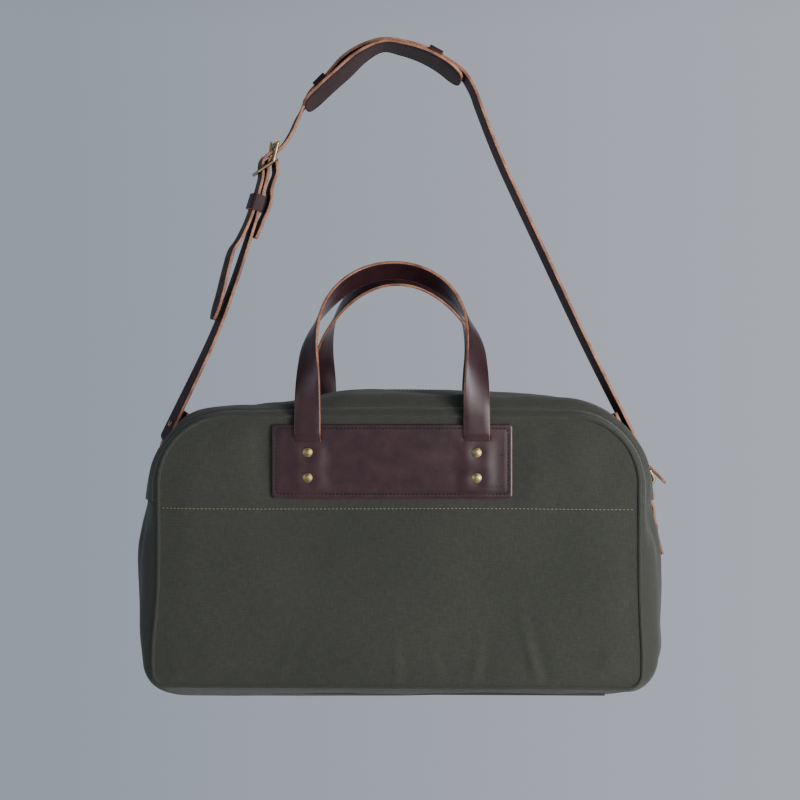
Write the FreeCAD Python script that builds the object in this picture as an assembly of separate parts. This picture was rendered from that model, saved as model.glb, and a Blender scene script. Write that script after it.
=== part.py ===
import FreeCAD, Part
import math
import os

V = FreeCAD.Vector

# ---- driving dimensions, mm; the origin is under the middle of the shoulder pad, where the bag hangs ----
BAG_X = 20.0            # the bag's middle; its strap is adjusted a little longer on the right
HALF_DEPTH = 115.0
CANVAS = 3.0
BASE_Z = -703.0
SEAM_Z = -493.0         # the cross seam where each zip end and D-ring sits
TOP_Z = -386.0
MOUTH_HALF = 175.0      # the straight part of the zip, between the shoulders
LIP_EDGE_Y = 104.8
FACING_Y = 106.6
SADDLE_R = 145.0        # shoulder radius along the zip
SADDLE_HALF = 270.0
PATCH_X = 14.0
PATCH_SIZE = (247.0, 76.0, 4.0)
PATCH_TOP_Z = -413.0
HANDLE_W = 27.0
HANDLE_T = 3.6
LEG_HALF = 87.0
SLOT_Z = -427.0
ARCH_START_Z = -345.0
ARCH_RISE = 95.0
RIVET_Z = (-442.0, -468.0)
RIVET_R = 5.5
STRAP_W = 25.0
STRAP_T = 3.6
PAD_W = 54.0
PAD_T = 3.6
FOLD_R = 4.2
WIRE_R = 1.8
RING_HALF = 272.0       # D-ring plane, from the bag's middle
RING_R = 14.5
RING_TOP_Z = -476.0
EYE_RIGHT = V(270.0, 0, -432.0)
EYE_LEFT = V(-236.5, 0, -430.0)
TOP_BAR = V(-118.7, 0, -106.5)
CENTRE_BAR = V(-123.5, 0, -126.5)
LOW_BAR = V(-139.8, 0, -137.5)

# section of the bag at each distance from its middle plane: half width, top, bottom, shoulder, corner, crown
SECTIONS = {
    115.0: (248.0, -405.0, -684.0, 70.0, 26.0, 0.0),
    100.0: (266.0, -393.0, -699.0, 85.0, 40.0, 5.0),
    65.0: (283.0, -387.0, -703.0, 108.0, 46.0, 8.0),
    28.0: (SADDLE_HALF, TOP_Z, -703.0, SADDLE_R, 46.0, 8.0),
}

os.makedirs("parts", exist_ok=True)


def export(name, shape):
    shape.exportStep("parts/" + name + ".step")


def box(low, high):
    size = V(*high) - V(*low)
    return Part.makeBox(size.x, size.y, size.z, V(*low))


def rod(start, end, radius):
    return Part.makeCylinder(radius, (end - start).Length, start, end - start)


def together(shapes):
    return shapes[0].fuse(shapes[1:]).removeSplitter()


def outline(y, inset, half, top, bottom, shoulder, corner, crown):
    """One closed outline of the bag in the plane y: flat base, round corners and shoulders."""
    w = half - inset
    high = top - inset
    low = bottom + inset
    sr = shoulder - inset
    cr = corner - inset
    d = 1 - math.sqrt(0.5)

    def at(x, z):
        return V(BAG_X + x, y, z)

    marks = [at(-w + cr, low), at(w - cr, low), at(w, low + cr), at(w, high - sr), at(w - sr, high),
             at(-w + sr, high), at(-w, high - sr), at(-w, low + cr)]
    edges = [
        Part.LineSegment(marks[0], marks[1]),
        Part.Arc(marks[1], at(w - cr * d, low + cr * d), marks[2]),
        Part.LineSegment(marks[2], marks[3]),
        Part.Arc(marks[3], at(w - sr * d, high - sr * d), marks[4]),
        Part.Arc(marks[4], at(0, high + crown), marks[5]) if crown else Part.LineSegment(marks[4], marks[5]),
        Part.Arc(marks[5], at(-w + sr * d, high - sr * d), marks[6]),
        Part.LineSegment(marks[6], marks[7]),
        Part.Arc(marks[7], at(-w + cr * d, low + cr * d), marks[0]),
    ]
    return Part.Wire([edge.toShape() for edge in edges])


def bag_solid(inset, end_y, end_inset):
    wires = [outline(-end_y, end_inset, *SECTIONS[115.0])]
    for y in (-100.0, -65.0, -28.0, 28.0, 65.0, 100.0):
        wires.append(outline(y, inset, *SECTIONS[abs(y)]))
    wires.append(outline(end_y, end_inset, *SECTIONS[115.0]))
    return Part.makeLoft(wires, True, True)


def band(values, y0, y1, outset, inset):
    """A flat ring that follows one outline, from y0 to y1."""
    outer = Part.Face(outline(y0, -outset, *values)).extrude(V(0, y1 - y0, 0))
    inner = Part.Face(outline(y0, inset, *values)).extrude(V(0, y1 - y0, 0))
    return outer.cut(inner)


def bag_panels(rivets):
    inner_y = HALF_DEPTH - 3.5
    shell = bag_solid(0, HALF_DEPTH, 0).cut(bag_solid(CANVAS, inner_y, 5.0))
    far = 400.0
    left, right = BAG_X - far, BAG_X + far
    ring = shell.common(box((left, -inner_y, -800), (right, inner_y, 0)))
    front = shell.common(box((left, -200, -800), (right, -inner_y, 0)))
    back = shell.common(box((left, inner_y, -800), (right, 200, 0)))
    export("front_panel", front.cut(rivets))
    export("back_panel", back.cut(rivets))
    corner_z = -655.0
    export("base_panel", ring.common(box((left, -200, -800), (right, 200, corner_z))))
    for name, a, b in (("left", left, BAG_X - MOUTH_HALF), ("right", BAG_X + MOUTH_HALF, right)):
        export(name + "_end_panel", ring.common(box((a, -200, corner_z), (b, 200, SEAM_Z))).cut(rivets))
        export(name + "_zip_corner", ring.common(box((a, -200, SEAM_Z), (b, 200, 0))))
    lip_half = MOUTH_HALF - 0.6
    for name, side in (("front", -1), ("back", 1)):
        for node, y0, y1 in (("_lip", 0.6, LIP_EDGE_Y), ("_facing", FACING_Y, inner_y)):
            y_low, y_high = sorted((side * y0, side * y1))
            cutter = box((BAG_X - lip_half, y_low, SEAM_Z), (BAG_X + lip_half, y_high, 0))
            export(name + node, ring.common(cutter))


def zip_teeth():
    track = band(SECTIONS[28.0], -3.6, 3.6, 1.8, 0)
    export("left_zip_teeth", track.common(box((-400, -5, SEAM_Z + 8), (BAG_X - MOUTH_HALF, 5, 0))))
    export("right_zip_teeth", track.common(box((BAG_X + MOUTH_HALF, -5, SEAM_Z + 8), (400, 5, 0))))
    half = MOUTH_HALF - 0.6
    export("front_lip_teeth", track.common(box((BAG_X - half, -5, SEAM_Z), (BAG_X + half, -0.6, 0))))
    export("back_lip_teeth", track.common(box((BAG_X - half, 0.6, SEAM_Z), (BAG_X + half, 5, 0))))


def bag_inside():
    board_z = BASE_Z + 6.5
    export("base_board", box((BAG_X - 215, -88, board_z), (BAG_X + 215, 88, board_z + 3)))
    y = HALF_DEPTH - 3.5
    for name, side in (("front", -1), ("back", 1)):
        y0, y1 = sorted((side * (y - 1.7), side * (y - 0.2)))
        export(name + "_inner_panel", box((BAG_X - 228, y0, -672), (BAG_X + 228, y1, -500)))
        p0, p1 = sorted((side * HALF_DEPTH, side * (HALF_DEPTH + 2.6)))
        export(name + "_piping", band(SECTIONS[115.0], p0, p1, 0.0, 5.2))


def rivet(x, z, side):
    """A domed cap on the patch, its shank, and the burr inside the bag."""
    face = HALF_DEPTH + PATCH_SIZE[2]
    dome = Part.makeSphere(8.0, V(x, side * (face - 5.4), z))
    cap = dome.common(Part.makeCylinder(RIVET_R, 6, V(x, side * face, z), V(0, side, 0)))
    shank = rod(V(x, side * (face + 0.5), z), V(x, side * (HALF_DEPTH - 4.5), z), 1.6)
    burr = rod(V(x, side * (HALF_DEPTH - 3.6), z), V(x, side * (HALF_DEPTH - 5.2), z), 4.5)
    return together([cap, shank, burr])


def patch_rivets(side):
    return [rivet(PATCH_X + leg * LEG_HALF, z, side) for leg in (-1, 1) for z in RIVET_Z]


def patches():
    width, height, thick = PATCH_SIZE
    for name, side in (("front", -1), ("back", 1)):
        rivets = Part.makeCompound(patch_rivets(side))
        y0, y1 = sorted((side * HALF_DEPTH, side * (HALF_DEPTH + thick)))
        plate = box((PATCH_X - width / 2, y0, PATCH_TOP_Z - height), (PATCH_X + width / 2, y1, PATCH_TOP_Z))
        upright = [e for e in plate.Edges if abs(e.tangentAt(e.FirstParameter).y) > 0.9]
        plate = plate.makeFillet(6.0, upright)
        tabs = []
        for leg in (-1, 1):
            x = PATCH_X + leg * LEG_HALF
            w = HANDLE_W / 2
            slot = box((x - w - 0.6, y0 - 1, SLOT_Z - 2.6), (x + w + 0.6, y1 + 1, SLOT_Z + 2.6))
            r0, r1 = sorted((side * (HALF_DEPTH - 0.1), side * (HALF_DEPTH + 1.9)))
            pocket = box((x - w - 0.3, r0, -482.3), (x + w + 0.3, r1, SLOT_Z))
            plate = plate.cut(slot).cut(pocket)
            t0, t1 = sorted((side * (HALF_DEPTH + 0.1), side * (HALF_DEPTH + 1.8)))
            tabs.append(box((x - w, t0, -482), (x + w, t1, SLOT_Z + 1)).cut(rivets))
        export(name + "_patch", plate.cut(rivets))
        export(name + "_handle_ends", Part.makeCompound(tabs))
        export(name + "_rivets", rivets)


def strip(points, sides, width, thick):
    """A leather strip along points; sides[i] is the way its width runs there."""
    wires = []
    last = len(points) - 1
    for i, p in enumerate(points):
        along = (points[min(i + 1, last)] - points[max(i - 1, 0)]).normalize()
        across = (sides[i] - along * sides[i].dot(along)).normalize()
        normal = along.cross(across)
        a = across * (width / 2)
        n = normal * (thick / 2)
        wires.append(Part.makePolygon([p - a - n, p + a - n, p + a + n, p - a + n, p - a - n]))
    return Part.makeLoft(wires, True, True)


def handle(side):
    """An arched strip: its legs face outwards, and it turns on its way to the top."""
    points, sides = [], []
    count = 40
    leg = ARCH_START_Z - (SLOT_Z + 1)
    arc = math.pi / 2 * (LEG_HALF + ARCH_RISE) / 2
    for i in range(count + 1):
        s = (leg + arc) * 2 * i / count
        near = min(s, 2 * (leg + arc) - s)
        turn = max(0.0, near - leg) / arc * math.pi / 2
        sign = -1 if i <= count / 2 else 1
        x = sign * LEG_HALF * math.cos(turn)
        z = ARCH_START_Z + ARCH_RISE * math.sin(turn) if near > leg else SLOT_Z + 1 + near
        lean = 60.0 * (max(0.0, z + 400.0) / 150.0) ** 1.6
        y = -(HALF_DEPTH + PATCH_SIZE[2] + 2.2) + lean
        points.append(V(PATCH_X + x, -side * y, z))
        twist = math.radians(117) * math.sin(math.pi / 2 * min(1.0, near / 200.0)) ** 2
        inward = V(-sign * math.cos(turn), 0, -math.sin(turn) * 0.95)
        if turn > 0:
            inward.y = -side * -0.31 * math.sin(turn)
        outward = V(0, side * 0.95, 0.31)
        sides.append(inward * math.cos(twist) + outward * math.sin(twist))
    return strip(points, sides, HANDLE_W, HANDLE_T)


def strap_side(p):
    """The strap's width runs front to back, turned more towards its left end."""
    yaw = 13.0 + max(0.0, min(20.0, 20.0 * (-60.0 - p.z) / 370.0)) * (1 if p.x < 0 else 0)
    return V(math.sin(math.radians(yaw)), -math.cos(math.radians(yaw)), 0)


def smooth(marks, count):
    curve = Part.BSplineCurve()
    curve.interpolate([mark if isinstance(mark, V) else V(mark[0], 0, mark[1]) for mark in marks])
    return curve.discretize(Number=count)


def fold(centre, first, second):
    """Points half way round a bar: from its first side, past its second, to the far side."""
    steps = 8
    angles = [math.pi * i / steps for i in range(steps + 1)]
    return [centre + first * (FOLD_R * math.cos(a)) + second * (FOLD_R * math.sin(a)) for a in angles]


def eye_frame(eye, strand):
    """The strap's width at a hook's eye, and the normal that points away from the bag's middle."""
    side = strap_side(eye)
    across = (side - strand * side.dot(strand)).normalize()
    away = strand.cross(across)
    if away.x * strand.x < 0:
        away = away * -1
    return across, away


def strap_strip(points, sides):
    return strip(points, sides, STRAP_W, STRAP_T)


def turned(shape, origin, across, down):
    """Put a shape drawn with X across, Z down its axis, at origin."""
    across = (across - down * across.dot(down)).normalize()
    turn = FreeCAD.Rotation(across, down.cross(across), down, "ZXY")
    shape = shape.copy()
    shape.Placement = FreeCAD.Placement(origin, turn)
    return shape


STRAND_RIGHT = V(0.425, 0, -0.905).normalize()
STRAND_LEFT = V(-0.420, 0, -0.907).normalize()


def strap_long():
    """From the fold at the right hook, over the pad, through the buckle, to its free tip."""
    across, away = eye_frame(EYE_RIGHT, STRAND_RIGHT)
    inner = EYE_RIGHT - away * FOLD_R
    points = [inner - STRAND_RIGHT * 34, inner - STRAND_RIGHT * 17]
    points += fold(EYE_RIGHT, away * -1, STRAND_RIGHT)
    sides = [across] * len(points)
    marks = [EYE_RIGHT + away * FOLD_R - STRAND_RIGHT * 12]
    marks += [(221.0, -324.0), (175.0, -226.0), (127.0, -122.0), (105.5, -67.0), (98.5, -48.0), (86.5, -29.0),
              (64.5, -13.0), (44.0, -2.2), (22.0, 4.5), (0.0, 7.4), (-22.0, 0.8), (-42.0, -12.0),
              (-64.0, -36.5), (-80.0, -52.5), (-92.7, -75.0), (-101.0, -93.0), (-108.5, -105.0),
              (-117.0, -113.5), (-126.5, -117.6), (-133.2, -123.5), (-134.8, -131.5), (-134.4, -139.8),
              (-136.4, -150.2), (-139.9, -162.4), (-145.1, -178.9), (-151.1, -194.7), (-159.9, -212.0),
              (-167.3, -223.0), (-172.8, -241.5), (-180.5, -273.0), (-188.5, -299.5)]
    run = smooth(marks, 120)
    strap = strap_strip(points + run, sides + [strap_side(p) for p in run])
    return strap.cut(prong_slot(V(-123.5, 0, -115.5)))


def strap_short():
    """From its end inside the buckle fold, round the centre bar, down to the left hook's eye and back."""
    inner = [(-142.5, -209.4), (-139.6, -203.3), (-134.0, -190.0), (-128.6, -178.0), (-125.6, -168.0),
             (-125.4, -158.0), (-122.6, -148.0), (-118.9, -138.0), (-119.2, -130.0)]
    bar_side = strap_side(CENTRE_BAR)
    level = V(-bar_side.y, bar_side.x, 0)
    top = fold(CENTRE_BAR, level, V(0, 0, 1))
    across, away = eye_frame(EYE_LEFT, STRAND_LEFT)
    down = [(-128.4, -133.0), (-129.6, -142.0), (-131.6, -150.2), (-134.9, -162.4), (-139.8, -178.9),
            (-142.6, -190.3), (-146.2, -201.8), (-152.6, -221.6), (-166.6, -263.0), (-186.0, -314.0)]
    down.append(EYE_LEFT + away * FOLD_R - STRAND_LEFT * 12)
    upper = smooth(inner, 24)
    lower = smooth(down, 60)
    far = EYE_LEFT - away * FOLD_R
    foot = fold(EYE_LEFT, away, STRAND_LEFT) + [far - STRAND_LEFT * 17, far - STRAND_LEFT * 34]
    sides = [strap_side(p) for p in upper] + [bar_side] * len(top) + [strap_side(p) for p in lower]
    sides += [across] * len(foot)
    return strap_strip(upper + top + lower + foot, sides).cut(prong_slot(CENTRE_BAR + V(-1.5, 0, 5.5)))


def prong_slot(middle):
    """The cutter for the hole that the buckle's prong goes through."""
    return turned(box((-3.2, -6.5, -5.0), (3.2, 6.5, 5.0)), middle, strap_side(middle), V(0, 0, -1))


def shoulder_pad():
    under = [(-86, -68), (-61, -44.5), (-44, -29.5), (-22, -10.5), (0, 0), (22, -3.4), (44, -10.6), (64, -21.5),
             (86, -39)]
    middle = [(x, z + PAD_T / 2) for x, z in under]
    points = smooth(middle, 40)
    return strip(points, [strap_side(V(1, 0, 0))] * len(points), PAD_W, PAD_T)


def pad_loop(x, z, slope):
    """A leather bridge around the strap, on top of the pad."""
    down = V(math.cos(math.radians(slope)), 0, math.sin(math.radians(slope)))
    wide = STRAP_W + 2.0
    ring = box((-wide / 2 - 2, -4.8, -8), (wide / 2 + 2, 3.0, 8))
    ring = ring.cut(box((-wide / 2, -2.8, -9), (wide / 2, 2.4, 9)))
    return turned(ring, V(x, 0, z), strap_side(V(1, 0, 0)), down)


def strap_rivets():
    """One rivet through each folded strap end."""
    solids = []
    for eye, strand in ((EYE_RIGHT, STRAND_RIGHT), (EYE_LEFT, STRAND_LEFT)):
        normal = eye_frame(eye, strand)[1]
        middle = eye - strand * 16
        body = rod(middle - normal * 7.4, middle + normal * 7.4, 1.6)
        caps = [rod(middle + normal * s * 6.3, middle + normal * s * 8.3, 4.2) for s in (-1, 1)]
        solids.append(together([body] + caps))
    return Part.makeCompound(solids)


def buckle_frame():
    """Two bent rails and three bars: the strap passes inside the outer two and outside the middle one."""
    across = strap_side(V(-120, 0, -120))
    half = STRAP_W / 2 + 3.0
    parts = []
    for bar in (TOP_BAR, CENTRE_BAR, LOW_BAR):
        parts.append(rod(bar - across * half, bar + across * half, 1.7))
    for s in (-1, 1):
        shift = across * (s * half)
        parts.append(rod(TOP_BAR + shift, CENTRE_BAR + shift, 1.9))
        parts.append(rod(CENTRE_BAR + shift, LOW_BAR + shift, 1.9))
        for bar in (TOP_BAR, CENTRE_BAR, LOW_BAR):
            parts.append(Part.makeSphere(1.95, bar + shift))
    return together(parts)


def buckle_roller():
    across = strap_side(V(-120, 0, -120))
    half = STRAP_W / 2 + 0.4
    outer = rod(TOP_BAR - across * half, TOP_BAR + across * half, 2.9)
    return outer.cut(rod(TOP_BAR - across * 20, TOP_BAR + across * 20, 1.78))


def buckle_prong():
    """A pin on the middle bar, through the strap's hole, its tip outside the roller."""
    across = strap_side(V(-120, 0, -120))
    out = V(-0.966, 0, 0.259)
    collar = rod(CENTRE_BAR - across * 2, CENTRE_BAR + across * 2, 2.15)
    root = CENTRE_BAR + V(-1.4, 0, 1.2)
    knee = V(-124.6, 0, -112.0)
    tip = TOP_BAR + out * 4.8 + V(0, 0, 2.5)
    pin = together([collar, rod(root, knee, 1.1), rod(knee, tip, 1.1), Part.makeSphere(1.1, knee)])
    return pin.cut(rod(CENTRE_BAR - across * 20, CENTRE_BAR + across * 20, 1.78))


def keeper():
    middle = V(-139.8, 0, -170.6)
    down = V(-0.300, 0, -0.954).normalize()
    wide = STRAP_W + 2.4
    ring = box((-wide / 2 - 2, -7.6, -9), (wide / 2 + 2, 7.6, 9))
    ring = ring.cut(box((-wide / 2, -5.6, -10), (wide / 2, 5.6, 10)))
    return turned(ring, middle, strap_side(middle), down)


def snap_hook(eye, ring_top, strand):
    """Eye, swivelling hook body and sliding bolt, drawn down the line from strap to ring."""
    down = (ring_top - eye).normalize()
    reach = (ring_top - eye).Length
    across = eye_frame(eye, strand)[0]
    wide = STRAP_W / 2 + 1.0 + WIRE_R
    bow = reach - 1.5
    eye_parts = [rod(V(-wide, 0, 0), V(wide, 0, 0), WIRE_R), rod(V(-wide, 0, 11.5), V(wide, 0, 11.5), WIRE_R)]
    for s in (-1, 1):
        eye_parts.append(rod(V(s * wide, 0, 0), V(s * wide, 0, 11.5), WIRE_R))
        for z in (0, 11.5):
            eye_parts.append(Part.makeSphere(WIRE_R + 0.02, V(s * wide, 0, z)))
    eye_parts.append(rod(V(0, 0, 11.5), V(0, 0, 20), 1.9))
    eye_shape = turned(together(eye_parts), eye, across, down)

    leg = 5.6
    torus = Part.makeTorus(leg, WIRE_R, V(0, 0, bow), V(1, 0, 0))
    jaw = torus.common(box((-9, -9, bow), (9, 9, bow + 12)))
    shank = rod(V(0, -leg, 31), V(0, -leg, bow), WIRE_R)
    barrel = box((-3.4, -7.6, 14.4), (3.4, 7.6, 32))
    body = together([jaw, shank, barrel])
    body = body.cut(rod(V(0, 0, 10), V(0, 0, 21), 1.96))
    body = body.cut(rod(V(0, leg, 21), V(0, leg, 40), 1.5))
    bolt = rod(V(0, leg, 27), V(0, leg, bow - 0.3), 1.4)
    front = V(0, -1, 0)
    return (eye_shape, turned(body, eye, front, down), turned(bolt, eye, front, down))


def d_ring(x):
    foot = RING_TOP_Z - RING_R - 2.5
    bow = Part.makeTorus(RING_R, WIRE_R, V(x, 0, foot + 2.5), V(1, 0, 0))
    parts = [bow.common(box((x - 5, -20, foot + 2.5), (x + 5, 20, RING_TOP_Z + 5)))]
    parts.append(rod(V(x, -RING_R, foot), V(x, RING_R, foot), WIRE_R))
    for s in (-1, 1):
        parts.append(rod(V(x, s * RING_R, foot), V(x, s * RING_R, foot + 2.5), WIRE_R))
        parts.append(Part.makeSphere(WIRE_R + 0.02, V(x, s * RING_R, foot)))
    return together(parts)


def chape(side):
    """A leather loop around the D-ring's bar, sewn and riveted to the end below it."""
    foot = RING_TOP_Z - RING_R - 2.5
    x = side * RING_HALF
    wide = 11.5
    outer = Part.makeCylinder(5.0, 2 * wide, V(BAG_X + x, -wide, foot), V(0, 1, 0))
    bore = Part.makeCylinder(WIRE_R + 0.2, 2 * wide, V(BAG_X + x, -wide, foot), V(0, 1, 0))
    marks = [(x, foot - 3.2), (side * 275.5, foot - 22), (side * 276.5, foot - 44), (side * 280, foot - 62)]
    tab = strip([V(BAG_X + a, 0, b) for a, b in marks], [V(0, 1, 0)] * 4, 2 * wide, 3.2)
    return outer.fuse(tab).cut(bore)


def chape_rivet(side):
    z = RING_TOP_Z - RING_R - 2.5 - 34
    x = BAG_X + side * 276.0
    out = V(side, 0, 0)
    shank = rod(V(x, 0, z) - out * 11, V(x, 0, z) + out * 2.5, 1.6)
    cap = rod(V(x, 0, z) + out * 1.55, V(x, 0, z) + out * 3.4, 4.2)
    burr = rod(V(x, 0, z) - out * 11.5, V(x, 0, z) - out * 9.6, 4.2)
    return together([shank, cap, burr])


SADDLE = V(BAG_X + SADDLE_HALF - SADDLE_R, 0, TOP_Z - SADDLE_R)


def on_saddle(angle, radius):
    a = math.radians(angle)
    return SADDLE + V(radius * math.cos(a), 0, radius * math.sin(a))


def slider(angle):
    """A zip slider on the shoulder's arc, with a bridge for its pull."""
    plate = box((-5.0, 2.1, -6.5), (5.0, 4.1, 6.5))
    shape = plate.fuse(box((-1.5, 4.0, -4.5), (1.5, 5.7, 4.5)))
    a = math.radians(angle)
    down = V(math.sin(a), 0, -math.cos(a))
    out = V(math.cos(a), 0, math.sin(a))
    turn = FreeCAD.Rotation(down.cross(out) * -1, out, down, "ZYX")
    shape.Placement = FreeCAD.Placement(on_saddle(angle, SADDLE_R), turn)
    return shape


def zip_pull(root, tip):
    """A leather tab that lies beside its slider, with the wire link that ties it there."""
    side = 1 if root.y > 0 else -1
    link = rod(root - V(0, side * 5.0, 0), root + (tip - root).normalize() * 3, 0.8)
    return together([strip([root, tip], [V(0, 1, 0)] * 2, 9.0, 2.4), link])


def build():
    rivets = []
    for side in (-1, 1):
        rivets += patch_rivets(side)
        rivets.append(chape_rivet(side))
    bag_panels(Part.makeCompound(rivets))
    zip_teeth()
    bag_inside()
    patches()
    export("front_handle", handle(-1))
    export("back_handle", handle(1))

    rings = {"left": V(BAG_X - RING_HALF, 0, RING_TOP_Z), "right": V(BAG_X + RING_HALF, 0, RING_TOP_Z)}
    ends = (("left", -1, EYE_LEFT, STRAND_LEFT), ("right", 1, EYE_RIGHT, STRAND_RIGHT))
    for name, side, eye, strand in ends:
        export(name + "_dring", d_ring(rings[name].x))
        export(name + "_chape", chape(side).cut(chape_rivet(side)))
        export(name + "_chape_rivet", chape_rivet(side))
        parts = snap_hook(eye, rings[name], strand)
        for part, shape in zip(("_hook_eye", "_hook_body", "_hook_bolt"), parts):
            export(name + part, shape)

    studs = strap_rivets()
    export("strap_long", strap_long().cut(studs))
    export("strap_short", strap_short().cut(studs))
    export("strap_rivets", studs)
    export("shoulder_pad", shoulder_pad())
    loops = [pad_loop(-67.0, -39.4, 45), pad_loop(57.0, -8.6, -29)]
    export("pad_loops", Part.makeCompound(loops))
    export("buckle_frame", buckle_frame())
    export("buckle_roller", buckle_roller())
    export("buckle_prong", buckle_prong())
    export("keeper", keeper())

    upper = ("upper", 50.0, 10.6, V(285.5, 37, -451))
    lower = ("lower", 41.0, -10.6, V(309, -46, -478))
    for name, angle, beside, tip in (upper, lower):
        export("zip_slider_" + name, slider(angle))
        export("zip_pull_" + name, zip_pull(on_saddle(angle, SADDLE_R + 5) + V(0, beside, 0), tip))


build()
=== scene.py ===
import bmesh
import bpy
import math
import numpy as np
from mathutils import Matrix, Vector, noise


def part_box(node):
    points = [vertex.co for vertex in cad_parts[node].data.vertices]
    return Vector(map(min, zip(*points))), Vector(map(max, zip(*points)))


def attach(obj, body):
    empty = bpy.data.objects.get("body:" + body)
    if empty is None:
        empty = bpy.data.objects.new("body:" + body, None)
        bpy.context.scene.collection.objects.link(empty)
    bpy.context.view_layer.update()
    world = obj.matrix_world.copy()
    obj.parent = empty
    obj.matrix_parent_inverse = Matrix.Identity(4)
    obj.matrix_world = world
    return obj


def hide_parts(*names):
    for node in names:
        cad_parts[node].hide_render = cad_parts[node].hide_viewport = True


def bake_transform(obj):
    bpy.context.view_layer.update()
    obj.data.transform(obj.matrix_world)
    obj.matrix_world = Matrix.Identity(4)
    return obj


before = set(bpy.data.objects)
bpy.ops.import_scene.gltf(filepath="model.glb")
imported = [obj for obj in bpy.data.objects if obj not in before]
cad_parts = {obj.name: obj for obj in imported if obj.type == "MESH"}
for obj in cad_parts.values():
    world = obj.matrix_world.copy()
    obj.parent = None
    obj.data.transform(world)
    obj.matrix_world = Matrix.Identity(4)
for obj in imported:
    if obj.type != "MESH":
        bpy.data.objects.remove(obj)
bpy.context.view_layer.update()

# ---- sizes in millimetres, in the CAD model's frame ----
MM = 0.001
PANEL_LOW, PANEL_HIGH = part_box("front_panel")
BAG_X = (PANEL_LOW.x + PANEL_HIGH.x) / 2 / MM
HALF_DEPTH = 115.0
SEAM_Z = -493.0
HINGE_Y = 106.5        # where a mouth flap turns
TOP_CENTRE_Z = -560.0  # the zip stands up away from this height
SADDLE_R = 145.0       # shoulder radius along the zip
SADDLE_HALF = 270.0
SADDLE_TOP_Z = -386.0
PATCH_X = 14.0
PATCH_TOP_Z = -413.0
PATCH_W = 247.0
PATCH_H = 76.0
PATCH_T = 4.0
PATCH_FACE = HALF_DEPTH + PATCH_T
STITCH_INSET = 4.2
RIVET_HEIGHTS = (-442.0, -468.0)
SLOT_Z = -427.0
LEG_HALF = 87.0
ARCH_START_Z = -345.0
ARCH_RISE = 95.0
HANDLE_W = 27.0
HANDLE_STANDOFF = 2.2
STRAP_W = 25.0
PAD_W = 54.0
LEATHER_T = 3.6
RING_HALF = 272.0
RING_FOOT_Z = -493.0
LOOP_R = 3.6           # the chape round its ring
STITCH_Z = -500.0
EYE_RIGHT = np.array((270.0, 0.0, -432.0))
EYE_LEFT = np.array((-236.5, 0.0, -430.0))
CENTRE_BAR = np.array((-123.5, 0.0, -126.5))
STRAND_RIGHT = np.array((0.425, 0.0, -0.905))
STRAND_LEFT = np.array((-0.420, 0.0, -0.907))
FOLD_R = 4.2           # at each fold of the shoulder strap
TURNED_END = (8.0, 17.0, 26.0, 34.0)
SIDES = (("front", -1), ("back", 1))
# half width, top, bottom, shoulder radius, corner radius, crown, at each distance from the middle plane
KEYS_Y = np.array((0.0, 28.0, 65.0, 100.0, 115.0))
KEYS = np.array((
    (270.0, -386.0, -703.0, 145.0, 60.0, 5.5),
    (270.0, -386.0, -703.0, 145.0, 60.0, 5.5),
    (278.0, -387.0, -702.0, 130.0, 60.0, 5.5),
    (265.0, -393.0, -692.0, 98.0, 28.0, 3.5),
    (248.0, -405.0, -684.0, 70.0, 14.0, 0.0),
))


# ---- materials ----
class Nodes:
    """A short way to write a node tree."""

    def __init__(self, name):
        self.material = bpy.data.materials.new(name)
        self.material.use_nodes = True
        self.tree = self.material.node_tree
        self.shader = self.tree.nodes["Principled BSDF"]

    def add(self, kind, **settings):
        node = self.tree.nodes.new("ShaderNode" + kind)
        for key, value in settings.items():
            if key in node.inputs:
                node.inputs[key].default_value = value
            else:
                setattr(node, key, value)
        return node

    def link(self, out, into):
        self.tree.links.new(out, into)

    def texture(self, kind, source, **settings):
        node = self.add(kind, **settings)
        self.link(source, node.inputs["Vector"])
        return node

    def surface(self, name, value):
        socket = self.shader.inputs[name]
        if isinstance(value, float):
            socket.default_value = value
        else:
            self.link(value, socket)

    def ramp(self, source, low, high, a=0.3, b=0.7):
        """Between two colours, or two greys, as the source goes from a to b."""
        node = self.add("ValToRGB")
        for element, place, colour in zip(node.color_ramp.elements, (a, b), (low, high)):
            element.position = place
            element.color = (colour, colour, colour, 1) if isinstance(colour, float) else (*colour, 1)
        self.link(source, node.inputs["Fac"])
        return node.outputs["Color"]

    def math(self, operation, a, b):
        node = self.add("Math", operation=operation)
        for socket, value in zip(node.inputs, (a, b)):
            if isinstance(value, (int, float)):
                socket.default_value = value
            else:
                self.link(value, socket)
        return node.outputs[0]

    def mix(self, fac, a, b, kind="MIX"):
        node = self.add("MixRGB", blend_type=kind)
        for socket, value in zip(node.inputs, (fac, a, b)):
            if isinstance(value, tuple):
                socket.default_value = (*value, 1)
            elif isinstance(value, (int, float)):
                socket.default_value = value
            else:
                self.link(value, socket)
        return node.outputs[0]

    def bump(self, height, strength, distance, after=None):
        node = self.add("Bump", Strength=strength, Distance=distance)
        self.link(height, node.inputs["Height"])
        if after is not None:
            self.link(after, node.inputs["Normal"])
        return node.outputs["Normal"]


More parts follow.
